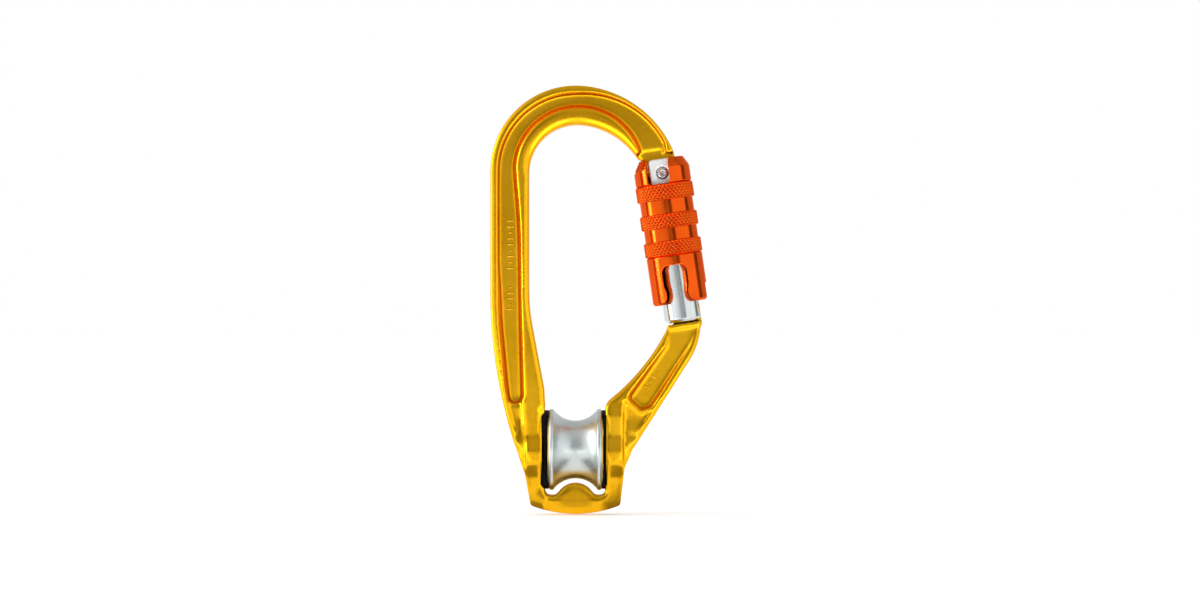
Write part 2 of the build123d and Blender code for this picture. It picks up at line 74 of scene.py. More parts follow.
def new_object(name, verts, faces, matrix=None):
    """A smooth-shaded mesh object from points and faces in metres."""
    mesh = bpy.data.meshes.new(name)
    mesh.from_pydata([tuple(v) for v in verts], [], [tuple(f) for f in faces])
    if matrix is not None:
        mesh.transform(matrix)
    mesh.validate()
    bm = bmesh.new()
    bm.from_mesh(mesh)
    bmesh.ops.recalc_face_normals(bm, faces=bm.faces)
    bm.to_mesh(mesh)
    bm.free()
    mesh.shade_smooth()
    obj = bpy.data.objects.new(name, mesh)
    bpy.context.scene.collection.objects.link(obj)
    return obj


def node_mesh(node):
    """A welded copy of a CAD node's mesh, in millimetres."""
    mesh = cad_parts[node].data.copy()
    mesh.transform(Matrix.Scale(1000.0, 4))
    bm = bmesh.new()
    bm.from_mesh(mesh)
    bmesh.ops.remove_doubles(bm, verts=bm.verts, dist=0.0005)
    bm.to_mesh(mesh)
    bm.free()
    return mesh


def mesh_of(points, faces):
    """A plain mesh between two remeshings, in millimetres."""
    mesh = bpy.data.meshes.new("between_remeshes")
    mesh.from_pydata(points.tolist(), [], faces)
    return mesh


def remeshed(mesh, voxel):
    """Points, edges and faces of a mesh in millimetres, rebuilt as an even quad skin."""
    source = bpy.data.objects.new("remesh_source", mesh)
    bpy.context.scene.collection.objects.link(source)
    modifier = source.modifiers.new("skin", "REMESH")
    modifier.mode = "VOXEL"
    modifier.voxel_size = voxel
    modifier.adaptivity = 0.0
    skin = source.evaluated_get(bpy.context.evaluated_depsgraph_get()).to_mesh()
    points = np.empty(len(skin.vertices) * 3)
    skin.vertices.foreach_get("co", points)
    points = points.reshape(-1, 3)
    edges = np.empty(len(skin.edges) * 2, dtype=np.int64)
    skin.edges.foreach_get("vertices", edges)
    faces = [tuple(p.vertices) for p in skin.polygons]
    bpy.data.objects.remove(source, do_unlink=True)
    bpy.data.meshes.remove(mesh)
    return points, edges.reshape(-1, 2), faces


def relax(points, edges, weight, passes):
    """Moves each point part of the way to its neighbours' mean, again and again, by its own weight."""
    a, b = edges[:, 0], edges[:, 1]
    count = len(points)
    degree = np.bincount(a, minlength=count) + np.bincount(b, minlength=count)
    degree = np.maximum(degree, 1)
    share = (0.5 * weight)[:, None] if np.ndim(weight) else 0.5 * weight
    for _ in range(passes):
        mean = np.empty_like(points)
        for k in range(3):
            total = np.bincount(a, points[b, k], count) + np.bincount(b, points[a, k], count)
            mean[:, k] = total / degree
        points = points + share * (mean - points)
    return points


def lathe(name, profile, matrix, segments):
    """Solid of revolution about local Z from a (radius, height) profile in millimetres.

    A profile that starts and ends on the axis is capped there, and any other one closes on itself."""
    capped = profile[0][0] == 0 and profile[-1][0] == 0
    ring = profile[1:-1] if capped else profile
    count = len(ring)
    verts = []
    for i in range(segments):
        a = 2 * math.pi * i / segments
        verts += [(r * math.cos(a) * MM, r * math.sin(a) * MM, z * MM) for r, z in ring]
    if capped:
        verts += [(0.0, 0.0, profile[0][1] * MM), (0.0, 0.0, profile[-1][1] * MM)]
    faces = []
    for i in range(segments):
        j = (i + 1) % segments
        for k in range(count - 1 if capped else count):
            m = (k + 1) % count
            faces.append((i * count + k, j * count + k, j * count + m, i * count + m))
        if capped:
            faces.append((segments * count, j * count, i * count))
            faces.append((segments * count + 1, i * count + count - 1, j * count + count - 1))
    return new_object(name, verts, faces, matrix)


def rounded(points, radii, steps):
    """A closed profile with its corners rounded, each by its own radius."""
    out = []
    total = len(points)
    for i in range(total):
        p = Vector(points[i])
        before, after = Vector(points[i - 1]), Vector(points[(i + 1) % total])
        if radii[i] <= 0:
            out.append(tuple(p))
            continue
        u, v = (before - p).normalized(), (after - p).normalized()
        half = u.angle(v) / 2
        longest = 0.45 * min((before - p).length, (after - p).length)
        reach = min(radii[i] / math.tan(half), longest)
        start, end = p + u * reach, p + v * reach
        for s in range(steps + 1):
            t = s / steps
            out.append(tuple((1 - t) ** 2 * start + 2 * t * (1 - t) * p + t * t * end))
    return out


# ---------------------------------------------------------------- node helpers

def fill_ramp(ramp, stops):
    """Sets a colour ramp's stops from (place, colour) pairs in rising order."""
    ramp.elements[0].position, ramp.elements[1].position = stops[0][0], stops[-1][0]
    made = [ramp.elements.new(place) for place, _ in stops[1:-1]]
    for element, (_, colour) in zip([ramp.elements[0], *made, ramp.elements[len(stops) - 1]], stops):
        element.color = (*colour, 1.0)


class Nodes:
    """Small builder for a node tree. An input takes a socket to link, or a plain value to set."""

    def __init__(self, tree, space):
        self.tree = tree
        self.coord = self.node("ShaderNodeTexCoord").outputs[space]

    def feed(self, socket, value):
        if isinstance(value, bpy.types.NodeSocket):
            self.tree.links.new(value, socket)
        else:
            socket.default_value = value

    def node(self, kind, inputs=None, **settings):
        made = self.tree.nodes.new(kind)
        for key, value in settings.items():
            setattr(made, key, value)
        for key, value in (inputs or {}).items():
            self.feed(made.inputs[key], value)
        return made

    def parts(self, vector):
        return self.node("ShaderNodeSeparateXYZ", {0: vector}).outputs

    def mapped(self, scale):
        return self.node("ShaderNodeMapping", {"Vector": self.coord, "Scale": scale}).outputs[0]

    def noise(self, scale, detail, rough, vector=None):
        inputs = {"Vector": vector or self.coord, "Scale": scale, "Detail": detail, "Roughness": rough}
        return self.node("ShaderNodeTexNoise", inputs).outputs[0]

    def ramp(self, value, stops):
        made = self.node("ShaderNodeValToRGB", {"Fac": value})
        fill_ramp(made.color_ramp, stops)
        return made.outputs[0]

    def range(self, value, low, high, to_low, to_high):
        inputs = {0: value, 1: low, 2: high, 3: to_low, 4: to_high}
        return self.node("ShaderNodeMapRange", inputs, clamp=True).outputs[0]

    def spread(self, noise, low, high):
        """Stretches the middle of a noise over the values from low to high."""
        return self.range(noise, 0.3, 0.7, low, high)

    def maths(self, operation, a, b=0.0):
        return self.node("ShaderNodeMath", {0: a, 1: b}, operation=operation).outputs[0]

    def mix(self, factor, a, b):
        """Mixes two colours, each a socket or a plain red, green and blue."""
        a, b = [value if isinstance(value, bpy.types.NodeSocket) else (*value, 1.0) for value in (a, b)]
        return self.node("ShaderNodeMix", {0: factor, 6: a, 7: b}, data_type="RGBA").outputs[2]

    def bump(self, height, distance, strength, normal=None):
        inputs = {"Height": height, "Distance": distance, "Strength": strength}
        if normal is not None:
            inputs["Normal"] = normal
        return self.node("ShaderNodeBump", inputs).outputs[0]


class Surface(Nodes):
    """The node tree of a new material, in object coordinates, round its Principled shader."""

    def __init__(self, name):
        self.material = bpy.data.materials.new(name)
        self.material.use_nodes = True
        super().__init__(self.material.node_tree, "Object")
        self.shader = self.tree.nodes["Principled BSDF"]

    def finished(self, **values):
        for key, value in values.items():
            self.feed(self.shader.inputs[key.replace("_", " ")], value)
        return self.material


def paint(obj, material):
    obj.data.materials.clear()
    obj.data.materials.append(material)
    return obj


# ---------------------------------------------------------------- materials

def pointiness(surface):
    return surface.node("ShaderNodeNewGeometry").outputs["Pointiness"]


def gold_material():
    """Gold anodised forging: polished flanges, grainy webs darkened as painted shade in their recess, painted
    shade in its hollows and lightly rubbed edges.
    """
    n = Surface("gold_anodised")
    web_depth, flange_depth = 3.0 * MM, 4.2 * MM
    depth = n.maths("ABSOLUTE", n.parts(n.coord)[1])
    web = n.range(depth, web_depth, flange_depth, 1.0, 0.0)
    cloud = n.noise(70.0, 4.0, 0.55)
    fine = n.noise(700.0, 3.0, 0.6)
    grain = n.noise(2600.0, 2.0, 0.5)
    tones = [(0.3, (0.88, 0.44, 0.007)), (0.55, (0.92, 0.48, 0.010)), (0.75, (0.94, 0.51, 0.016))]
    edge = pointiness(n)
    # Painted shade: concave spots of the skin turn darker and redder, standing in for the shade in the
    # grooves.
    hollow_shade = n.range(edge, 0.45, 0.495, 0.3, 0.0)
    base = n.mix(hollow_shade, n.ramp(cloud, tones), (0.70, 0.25, 0.004))
    rubbed = n.maths("MULTIPLY", n.range(edge, 0.515, 0.55, 0.0, 0.4), n.range(fine, 0.45, 0.62, 0.0, 1.0))
    base = n.mix(rubbed, base, (0.97, 0.66, 0.12))
    # Painted shade: the sunken webs are darkened a sixth of the way to black.
    base = n.mix(n.maths("MULTIPLY", web, 0.16), base, (0.0, 0.0, 0.0))
    rough = n.maths("ADD", n.spread(cloud, 0.20, 0.26), n.spread(fine, -0.02, 0.03))
    rough = n.maths("ADD", rough, n.maths("MULTIPLY", web, 0.07))
    normal = n.bump(fine, 0.00003, 0.25)
    normal = n.bump(n.maths("MULTIPLY", grain, web), 0.00002, 0.10, normal)
    return n.finished(
        Base_Color=base, Metallic=1.0, Roughness=rough, Normal=normal, Specular_Tint=(1.0, 0.72, 0.22, 1.0)
    )


def orange_material():
    """Orange anodised sleeve, bright turned, with painted shade in the pits of its knurling and the colour
    rubbed thin on its crests.
    """
    n = Surface("orange_anodised")
    cloud = n.noise(140.0, 4.0, 0.55)
    fine = n.noise(1500.0, 3.0, 0.6)
    tones = [(0.3, (0.72, 0.078, 0.001)), (0.6, (0.80, 0.092, 0.0015)), (0.8, (0.84, 0.106, 0.002))]
    edge = pointiness(n)
    # Painted shade: concave spots, the knurling's pits most of all, are darkened towards deep red-brown.
    pit = n.range(edge, 0.40, 0.49, 0.6, 0.0)
    base = n.mix(pit, n.ramp(cloud, tones), (0.28, 0.018, 0.001))
    worn = n.maths("MULTIPLY", n.range(edge, 0.56, 0.62, 0.0, 0.7), n.range(fine, 0.40, 0.6, 0.3, 1.0))
    base = n.mix(worn, base, (0.92, 0.34, 0.09))
    rough = n.maths("ADD", n.spread(cloud, 0.09, 0.14), n.spread(fine, -0.01, 0.02))
    return n.finished(
        Base_Color=base, Metallic=1.0, Roughness=rough, Normal=n.bump(fine, 0.00001, 0.25),
        Specular_Tint=(1.0, 0.5, 0.25, 1.0), Coat_Weight=0.12, Coat_Roughness=0.08
    )


def silver_material():
    """Polished gate with a brushed hinge end."""
    n = Surface("gate_polished")
    shank_top, ear_foot = 80.0 * MM, 80.8 * MM
    ear = n.range(n.parts(n.coord)[2], shank_top, ear_foot, 0.0, 1.0)
    cloud = n.noise(160.0, 4.0, 0.6)
    brushed = n.noise(1.0, 3.0, 0.6, n.mapped((5200.0, 5200.0, 260.0)))
    fine = n.noise(1800.0, 3.0, 0.6)
    shank_tone = n.mix(n.spread(cloud, 0.0, 1.0), (0.58, 0.62, 0.62), (0.66, 0.70, 0.70))
    ear_tone = n.mix(n.range(brushed, 0.35, 0.65, 0.0, 1.0), (0.80, 0.83, 0.83), (0.95, 0.97, 0.97))
    base = n.mix(ear, shank_tone, ear_tone)
    rough = n.maths("ADD", n.spread(cloud, 0.13, 0.18), n.maths("MULTIPLY", ear, 0.38))
    normal = n.bump(n.maths("MULTIPLY", brushed, ear), 0.00003, 0.4)
    normal = n.bump(fine, 0.000005, 0.2, normal)
    return n.finished(Base_Color=base, Metallic=1.0, Roughness=rough, Normal=normal)


def turned_material(name, light, dark, rough, along):
    """Lathe-turned metal: fine rings about the axis given by its mapping, over cloudy handling marks."""
    n = Surface(name)
    rings = n.noise(1.0, 3.0, 0.7, n.mapped(along))
    cloud = n.noise(160.0, 4.0, 0.6)
    fine = n.noise(1800.0, 3.0, 0.6)
    base = n.mix(n.spread(cloud, 0.0, 1.0), dark, light)
    spread = n.maths("ADD", n.spread(cloud, *rough), n.spread(fine, -0.03, 0.05))
    normal = n.bump(fine, 0.000006, 0.3, n.bump(rings, 0.000012, 0.5))
    return n.finished(Base_Color=base, Metallic=1.0, Roughness=spread, Normal=normal)


def plastic_material():
    """Dull black moulded plastic, for the bearing seals and for the side discs that stand in for the shade
    between sheave and cheeks.
    """
    n = Surface("black_disc_gap_shade")
    cloud = n.noise(300.0, 4.0, 0.6)
    fine = n.noise(2500.0, 2.0, 0.5)
    base = n.ramp(cloud, [(0.3, (0.002, 0.002, 0.002)), (0.8, (0.004, 0.004, 0.005))])
    # Near black with little shine, so that the side discs read as painted shade.
    return n.finished(
        Base_Color=base, Roughness=n.spread(cloud, 0.55, 0.7), Normal=n.bump(fine, 0.00002, 0.4),
        Specular_IOR_Level=0.12
    )


gold = gold_material()
orange = orange_material()
silver = silver_material()
plastic = plastic_material()
sheave_metal = turned_material(
    "sheave_satin", light=(0.72, 0.78, 0.77), dark=(0.54, 0.60, 0.59),
    rough=(0.26, 0.38), along=(9000.0, 60.0, 60.0)
)
steel = turned_material(
    "rivet_steel", light=(0.60, 0.60, 0.61), dark=(0.44, 0.45, 0.46),
    rough=(0.24, 0.34), along=(400.0, 400.0, 400.0)
)
bearing = turned_material(
    "bearing_steel_ground", light=(0.68, 0.69, 0.70), dark=(0.55, 0.56, 0.57),
    rough=(0.14, 0.22), along=(60000.0, 60.0, 60.0)
)
spring = turned_material(
    "spring_wire", light=(0.50, 0.50, 0.50), dark=(0.36, 0.36, 0.37),
    rough=(0.25, 0.35), along=(900.0, 900.0, 900.0)
)


# ---------------------------------------------------------------- frame

BOW_CENTRE = (0.6, 86.35)
BOW_START, BOW_FULL = 78.0, 92.0
BOW_INNER_R, BOW_OUTER_R = 19.5, 21.0
BEVEL_WIDTH, BEVEL_FALL = 1.3, 0.55
CROWN_LINE, CROWN_CURVE, CROWN_FALL = 2.9, 0.11, 1.6
FOOT_CURVE = 0.0038
SCOOP_FLOOR, SCOOP_SLOPE, SCOOP_HEIGHT = -20.5, 0.143, 12.0
CHEEK_SIDE_LEFT, CHEEK_SIDE_RIGHT, CHEEK_LEAN = 17.0, 15.9, 0.38
CHEEK_INNER, SEAT_START, SEAT_R = 9.6, 13.0, 4.7
HINGE_KEPT_R, HINGE_EASE = 5.5, 5.0
NOSE_TOP, NOSE_FREE, NOSE_EASE, NOSE_END, NOSE_INNER = -35.0, -47.0, 3.0, -52.0, -12.0
TIP_TOP, TIP_END, TIP_INNER, TIP_RUN = 10.5, 0.2, 15.4, 9.5
TIP_FLOOR, TIP_OUT_LEFT, TIP_OUT_RIGHT = 5.0, 6.0, 5.6


def smooth_step(value, low, high):
    t = np.clip((value - low) / (high - low), 0.0, 1.0)
    return t * t * (3 - 2 * t)


def gate_coordinates(points):
    """Place of each point across and along the gate, in millimetres from the hinge."""
    x = points[:, 0] - HINGE.x / MM
    z = points[:, 2] - HINGE.z / MM
    across = x * math.cos(GATE_TILT) + z * math.sin(GATE_TILT)
    along = -x * math.sin(GATE_TILT) + z * math.cos(GATE_TILT)
    return across, along


def frame_freedom(points):
    """How freely each point of the forging is reshaped: fully where forged, not at all where machined."""
    across, along = gate_coordinates(points)
    freedom = np.clip((np.hypot(across, along) - HINGE_KEPT_R) / HINGE_EASE, 0.0, 1.0)
    near_nose = (along < NOSE_TOP) & (along > NOSE_END) & (across > NOSE_INNER)
    nose = np.clip((NOSE_FREE - along) / NOSE_EASE, 0.0, 1.0)
    freedom = np.where(near_nose, np.minimum(freedom, nose), freedom)
    seat = (np.abs(points[:, 0]) > SEAT_START) & (np.hypot(points[:, 1], points[:, 2]) < SEAT_R)
    return np.where(seat, 0.0, freedom)


def distance_to(samples, points):
    """Distance in XZ from each point to the nearest sample."""
    tree = kdtree.KDTree(len(samples))
    for i, (x, z) in enumerate(samples):
        tree.insert((x, z, 0.0), i)
    tree.balance()
    return np.array([tree.find((x, z, 0.0))[2] for x, z in points[:, (0, 2)].tolist()])


def local_height(points, cell, reach):
    """Greatest half depth of the skin near each point, from a coarse grid in XZ."""
    low = points.min(axis=0)
    column = ((points[:, 0] - low[0]) / cell).astype(int) + reach
    row = ((points[:, 2] - low[2]) / cell).astype(int) + reach
    grid = np.zeros((column.max() + reach + 1, row.max() + reach + 1))
    np.maximum.at(grid, (column, row), np.abs(points[:, 1]))
    widest = grid.copy()
    for i in range(-reach, reach + 1):
        for j in range(-reach, reach + 1):
            if i * i + j * j <= reach * reach:
                widest = np.maximum(widest, np.roll(grid, (i, j), (0, 1)))
    return widest[column, row]


def faded(points):
    """Runs the floors of the two triangles out to the surface at their lower tips."""
    x, depth, z = points[:, 0], np.abs(points[:, 1]), points[:, 2]
    full = np.where(x < 0, TIP_OUT_LEFT, TIP_OUT_RIGHT)
    ramp = TIP_FLOOR + (full - TIP_FLOOR) * smooth_step(TIP_TOP - z, 0.0, TIP_RUN)
    inside = (z < TIP_TOP) & (z > TIP_END) & (np.abs(x) > TIP_INNER) & (depth > TIP_FLOOR - 0.25)
    depth = np.where(inside, np.maximum(depth, ramp), depth)
    return np.column_stack((x, np.sign(points[:, 1]) * depth, z))


def outline_of(points):
    """Places in XZ where the skin crosses the middle plane, without the axle's bores."""
    middle = points[np.abs(points[:, 1]) < 0.2][:, (0, 2)]
    x, z = np.abs(middle[:, 0]), middle[:, 1]
    side = np.where(middle[:, 0] < 0, CHEEK_SIDE_LEFT, CHEEK_SIDE_RIGHT) + CHEEK_LEAN * z
    in_bore = (np.abs(z) < SEAT_R) & (x > CHEEK_INNER) & (x < side)
    return middle[~in_bore]


def bow_fall(x, z, edge):
    """Fall of the bow's crowned inner flange, by the distance from its edge."""
    radius = np.hypot(x - BOW_CENTRE[0], z - BOW_CENTRE[1])
    inner = smooth_step(z, BOW_START, BOW_FULL) * (1 - smooth_step(radius, BOW_INNER_R, BOW_OUTER_R))
    return np.clip(inner * CROWN_CURVE * (edge - CROWN_LINE) ** 2, 0.0, CROWN_FALL)


def foot_fall(x, z):
    """Fall of the foot's crowned face, and of the scoop in the bridge's bump."""
    crown = smooth_step(-z, 4.2, 7.6) * FOOT_CURVE * x * x
    bump = smooth_step(-np.abs(x), -8.5, -3.5) * smooth_step(-z, 6.0, 9.5)
    return crown + bump * SCOOP_SLOPE * np.clip(z - SCOOP_FLOOR, 0.0, SCOOP_HEIGHT)


def bevelled(points):
    """Depths that give the forging its eased outline, its crowned bow and its crowned foot."""
    x, z = points[:, 0], points[:, 2]
    edge = distance_to(outline_of(points)[::2].tolist(), points)
    freedom = frame_freedom(points)
    drop = BEVEL_FALL * np.clip(1.0 - edge / BEVEL_WIDTH, 0.0, 1.0)
    fall = freedom * np.maximum(drop, bow_fall(x, z, edge))
    top = local_height(points, 0.4, 2) - fall - freedom * foot_fall(x, z)
    return np.sign(points[:, 1]) * np.minimum(np.abs(points[:, 1]), top)


def soft_spots(points):
    """Extra easing where thin rims run out: the triangles' lower tips and the corner by the left recess."""
    x, depth, z = points[:, 0], np.abs(points[:, 1]), points[:, 2]
    tips = smooth_step(np.abs(x), 15.2, 16.2) * smooth_step(9.5 - z, 0.0, 3.0) * smooth_step(z, -2.5, 0.0)
    corner_x, corner_z, spread = -11.2, -12.8, 3.0
    corner = np.exp(-((x - corner_x) ** 2 + (z - corner_z) ** 2) / spread)
    return np.where(depth > 4.6, tips, 0.0) + np.where(depth > 3.0, corner, 0.0)


def forged_frame():
    """The forging, reshaped on a coarse even skin, then skinned finer and eased."""
    points, _, faces = remeshed(node_mesh("frame"), 0.30)
    points = faded(points)
    points[:, 1] = bevelled(points)
    points, edges, faces = remeshed(mesh_of(points, faces), 0.24)
    points = relax(points, edges, np.clip(frame_freedom(points), 0.08, 1.0), 22)
    points = relax(points, edges, soft_spots(points), 60)
    obj = new_object("frame_forging", points * MM, faces)
    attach(obj, "frame")
    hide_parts("frame")
    return paint(obj, gold)


forged_frame()


# ---------------------------------------------------------------- raised marks

MARK_WIDTH, MARK_RISE = 0.55, 0.3
MARK_LENGTHS = {"bar": 2.3, "short": 1.3, "dot": 0.62}
SPINE_WEB, ARM_WEB = 2.5, 2.8
SPINE_X, ARM_PLACE, ARM_LEAN = -20.3, (24.2, 0.0, 22.6), math.radians(32.5)


def stadium(length, width, steps=8):
    """Outline of a round-ended bar along its second axis."""
    half, r = (length - width) / 2, width / 2
    angles = [math.pi * k / steps for k in range(steps + 1)]
    upper = [(r * math.cos(a), half + r * math.sin(a)) for a in angles]
    return upper + [(-u, -v) for u, v in upper]


def mark_rings(outline):
    """The outline as (u, height, v) rings from its foot, sunk in the web, to the edge of its eased top."""
    count = len(outline)
    mid_u, mid_v = sum(u for u, _ in outline) / count, sum(v for _, v in outline) / count
    rings = []
    steps = ((0.0, -0.4), (0.0, 0.45 * MARK_RISE), (0.07, 0.85 * MARK_RISE), (0.16, MARK_RISE))
    for inset, lift in steps:
        for u, v in outline:
            k = max(0.0, 1.0 - inset / math.hypot(u - mid_u, v - mid_v))
            rings.append((mid_u + (u - mid_u) * k, lift, mid_v + (v - mid_v) * k))
    return rings


def raised_marks(name, outlines, place, floor):
    """Low raised marks with eased tops on both faces of a web, from outlines laid out at a place."""
    verts, faces = [], []
    for face in (-1, 1):
        for outline in outlines:
            start, count = len(verts), len(outline)
            for u, lift, v in mark_rings(outline):
                spot = place @ Vector((u, 0.0, v))
                verts.append(Vector((spot.x, face * (floor + lift), spot.z)) * MM)
            for ring in range(3):
                low, high = start + ring * count, start + (ring + 1) * count
                for k in range(count):
                    m = (k + 1) % count
                    faces.append((low + k, low + m, high + m, high + k))
            faces.append(tuple(range(start, start + count)))
            faces.append(tuple(range(start + 3 * count, start + 4 * count)))
    obj = new_object(name, verts, faces)
    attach(obj, "frame")
    return paint(obj, gold)


def bar_row(pattern, pitch, start):
    """Outlines of a row of marks running up: wide bars, short bars and dots in turn."""
    outlines = []
    for k, kind in enumerate(pattern):
        along = start + k * pitch
        outlines.append([(v, u + along) for u, v in stadium(MARK_LENGTHS[kind], MARK_WIDTH)])
    return outlines


spine_rows = bar_row(["bar", "dot", "bar", "bar", "short"], 1.7, 43.8)
spine_rows += bar_row(["bar", "short", "bar", "dot", "bar", "bar", "short", "bar", "bar"], 1.85, 56.6)
raised_marks("spine_marks", spine_rows, Matrix.Translation((SPINE_X, 0.0, 0.0)), SPINE_WEB)
arm_rows = bar_row(["bar", "short", "bar", "dot"], 1.9, -3.6)
arm_place = Matrix.Translation(ARM_PLACE) @ Matrix.Rotation(ARM_LEAN, 4, "Y")
raised_marks("arm_marks", arm_rows, arm_place, ARM_WEB)


# ---------------------------------------------------------------- sleeve and gate

SLEEVE_R, BAND_ROOT_R = 8.75, 8.3
SHANK_R, SHANK_BORE_R = 5.9, 4.4
ARCH_START, ARCH_FULL, ARCH_WALL = 26.4, 28.0, 0.72
KNURL_BANDS = ((-3.4, -8.4), (-12.6, -17.2), (-21.0, -25.65))
KNURL_LOW_R, KNURL_HIGH_R = 8.65, 9.0
KNURL_RIDGES, KNURL_LEAN = 44, math.radians(38.0)


def drawn(points, scale):
    """Points moved straight towards or away from the gate's axis, each by its own scale."""
    across, along = gate_coordinates(points)
    across = across * scale
    x = HINGE.x / MM + across * math.cos(GATE_TILT) - along * math.sin(GATE_TILT)
    z = HINGE.z / MM + across * math.sin(GATE_TILT) + along * math.cos(GATE_TILT)
    return np.column_stack((x, points[:, 1] * scale, z))


def sleeve_shape(points):
    """The sleeve with room for the knurled rings over its bands, and a thinner wall around its arch."""
    across, along = gate_coordinates(points)
    radius = np.hypot(across, points[:, 1])
    band = np.zeros(len(points), dtype=bool)
    for high, low in KNURL_BANDS:
        band |= (along < high + 0.12) & (along > low - 0.12)
    target = np.where(band, np.minimum(radius, BAND_ROOT_R), radius)
    thinned = SLEEVE_R - (SLEEVE_R - target) * ARCH_WALL
    target = target + (thinned - target) * smooth_step(-along, ARCH_START, ARCH_FULL)
    return drawn(points, target / radius)


def snapped(points, radii):
    """Points that lie close to one of the turned radii are put exactly on it."""
    across, _ = gate_coordinates(points)
    radius = np.hypot(across, points[:, 1])
    target = radius
    for turned in radii:
        target = np.where(np.abs(radius - turned) < 0.07, turned, target)
    return drawn(points, target / radius)


def skin_piece(name, node, body, material, passes, radii, shape=None):
    """A CAD node with its machined edges eased and its turned surfaces true."""
    points, edges, faces = remeshed(node_mesh(node), 0.13)
    if shape:
        points = shape(points)
    points = snapped(relax(points, edges, 1.0, passes), radii)
    points = relax(points, edges, 1.0, 2)
    obj = new_object(name, points * MM, faces)
    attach(obj, body)
    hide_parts(node)
    return paint(obj, material)


sleeve_radii, gate_radii = (SLEEVE_R, BAND_ROOT_R), (SHANK_R, SHANK_BORE_R)
skin_piece("sleeve_shell", "sleeve", "sleeve", orange, 9, sleeve_radii, sleeve_shape)
skin_piece("gate_shell", "gate_body", "gate", silver, 7, gate_radii)


def knurl_radius(turn, z, high, low):
    """Radius of a grip band where its two crossing sets of ridges pass, chamfered at its edges."""
    lean = KNURL_RIDGES / (2 * math.pi * KNURL_HIGH_R) * math.tan(KNURL_LEAN)
    inset = min(z - low, high - z)
    one = abs(((turn + z * lean) % 1.0) - 0.5) * 2
    two = abs(((turn - z * lean) % 1.0) - 0.5) * 2
    pit = (1.0 - max(one, two) ** 1.8) * min(1.0, max(0.0, inset - 0.3) / 0.25)
    chamfer = max(0.0, 0.28 - inset) / 0.28
    return KNURL_HIGH_R - (KNURL_HIGH_R - KNURL_LOW_R) * 1.25 * pit - 0.4 * chamfer


def knurl_ring(index, high, low):
    """One diamond-knurled grip band: a raised lattice over a plain bore that the sleeve's wall hides."""
    around, steps = 704, 56
    heights = [low + (high - low) * k / steps for k in range(steps + 1)]
    verts = []
    for i in range(around):
        a = 2 * math.pi * i / around
        for z in heights:
            r = knurl_radius(KNURL_RIDGES * i / around, z, high, low)
            verts.append((r * math.cos(a) * MM, r * math.sin(a) * MM, z * MM))
    inner = len(verts)
    root = KNURL_LOW_R - 0.6
    for i in range(around):
        a = 2 * math.pi * i / around
        verts += [(root * math.cos(a) * MM, root * math.sin(a) * MM, z * MM) for z in (low, high)]
    faces = []
    count = steps + 1
    for i in range(around):
        j = (i + 1) % around
        for k in range(steps):
            faces.append((i * count + k, j * count + k, j * count + k + 1, i * count + k + 1))
        faces.append((inner + 2 * i, inner + 2 * j, j * count, i * count))
        faces.append((i * count + steps, j * count + steps, inner + 2 * j + 1, inner + 2 * i + 1))
        faces.append((inner + 2 * i + 1, inner + 2 * j + 1, inner + 2 * j, inner + 2 * i))
    obj = new_object(f"knurl_band_{index}", verts, faces, GATE_TO_ROW)
    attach(obj, "sleeve")
    return paint(obj, orange)


for number, (top, bottom) in enumerate(KNURL_BANDS, 1):
    knurl_ring(number, top, bottom)


# ---------------------------------------------------------------- sheave, rivet, wear discs and springs

GROOVE_R, GROOVE_CENTRE, RIM_R, SHEAVE_HALF = 8.5, 17.55, 12.7, 8.6
RIVET_HEAD_R, RIVET_SHANK_R = 1.72, 1.5
DISC_HUB_R, DISC_BORE_R = 4.4, 3.5


def sheave_piece():
    """The sheave as a fine lathe form: concave rope groove, chamfered rims and a shallow recess each side."""
    lip = math.asin((GROOVE_CENTRE - RIM_R) / GROOVE_R)
    groove = []
    for i in range(49):
        a = -lip - (math.pi - 2 * lip) * i / 48
        groove.append((GROOVE_CENTRE + GROOVE_R * math.sin(a), GROOVE_R * math.cos(a)))
    face, recess = -SHEAVE_HALF, 0.25 - SHEAVE_HALF
    side = [(RIM_R, 0.85 - SHEAVE_HALF), (RIM_R - 0.25, 0.5 - SHEAVE_HALF), (RIM_R - 1.6, face), (10.6, face)]
    side += [(10.5, recess), (8.5, recess), (8.4, face), (7.0, face)]
    ease = [0.35, 0.35, 0.3, 0.05, 0.05, 0.05, 0.05, 0.15]
    side += [(r, -x) for r, x in reversed(side)]
    profile = groove + rounded(side, ease + ease[::-1], 6)
    along_x = Matrix.Rotation(math.pi / 2, 4, "Y")
    obj = lathe("sheave_turned", profile, along_x, 256)
    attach(obj, "sheave")
    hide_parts("sheave")
    return paint(obj, sheave_metal)


def rivet_piece():
    """Hinge rivet with a low domed head, a rim and a small centre dimple at each end."""
    box_low, box_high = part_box("hinge_rivet")
    reach = (box_high[1] - box_low[1]) / 2 / MM
    end = [(0.0, reach - 0.42), (0.45, reach - 0.40), (0.75, reach - 0.10), (1.15, reach)]
    end += [(1.45, reach - 0.12), (RIVET_HEAD_R, reach - 0.38), (RIVET_HEAD_R, reach - 0.72)]
    end += [(RIVET_SHANK_R, reach - 0.8)]
    end = rounded(end, [0, 0.3, 0.3, 0.5, 0.3, 0.1, 0, 0], 4)
    profile = end + [(r, -h) for r, h in reversed(end)]
    along_y = Matrix.Translation(HINGE) @ Matrix.Rotation(math.pi / 2, 4, "X")
    obj = lathe("hinge_rivet_headed", profile, along_y, 96)
    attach(obj, "gate")
    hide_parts("hinge_rivet")
    return paint(obj, steel)


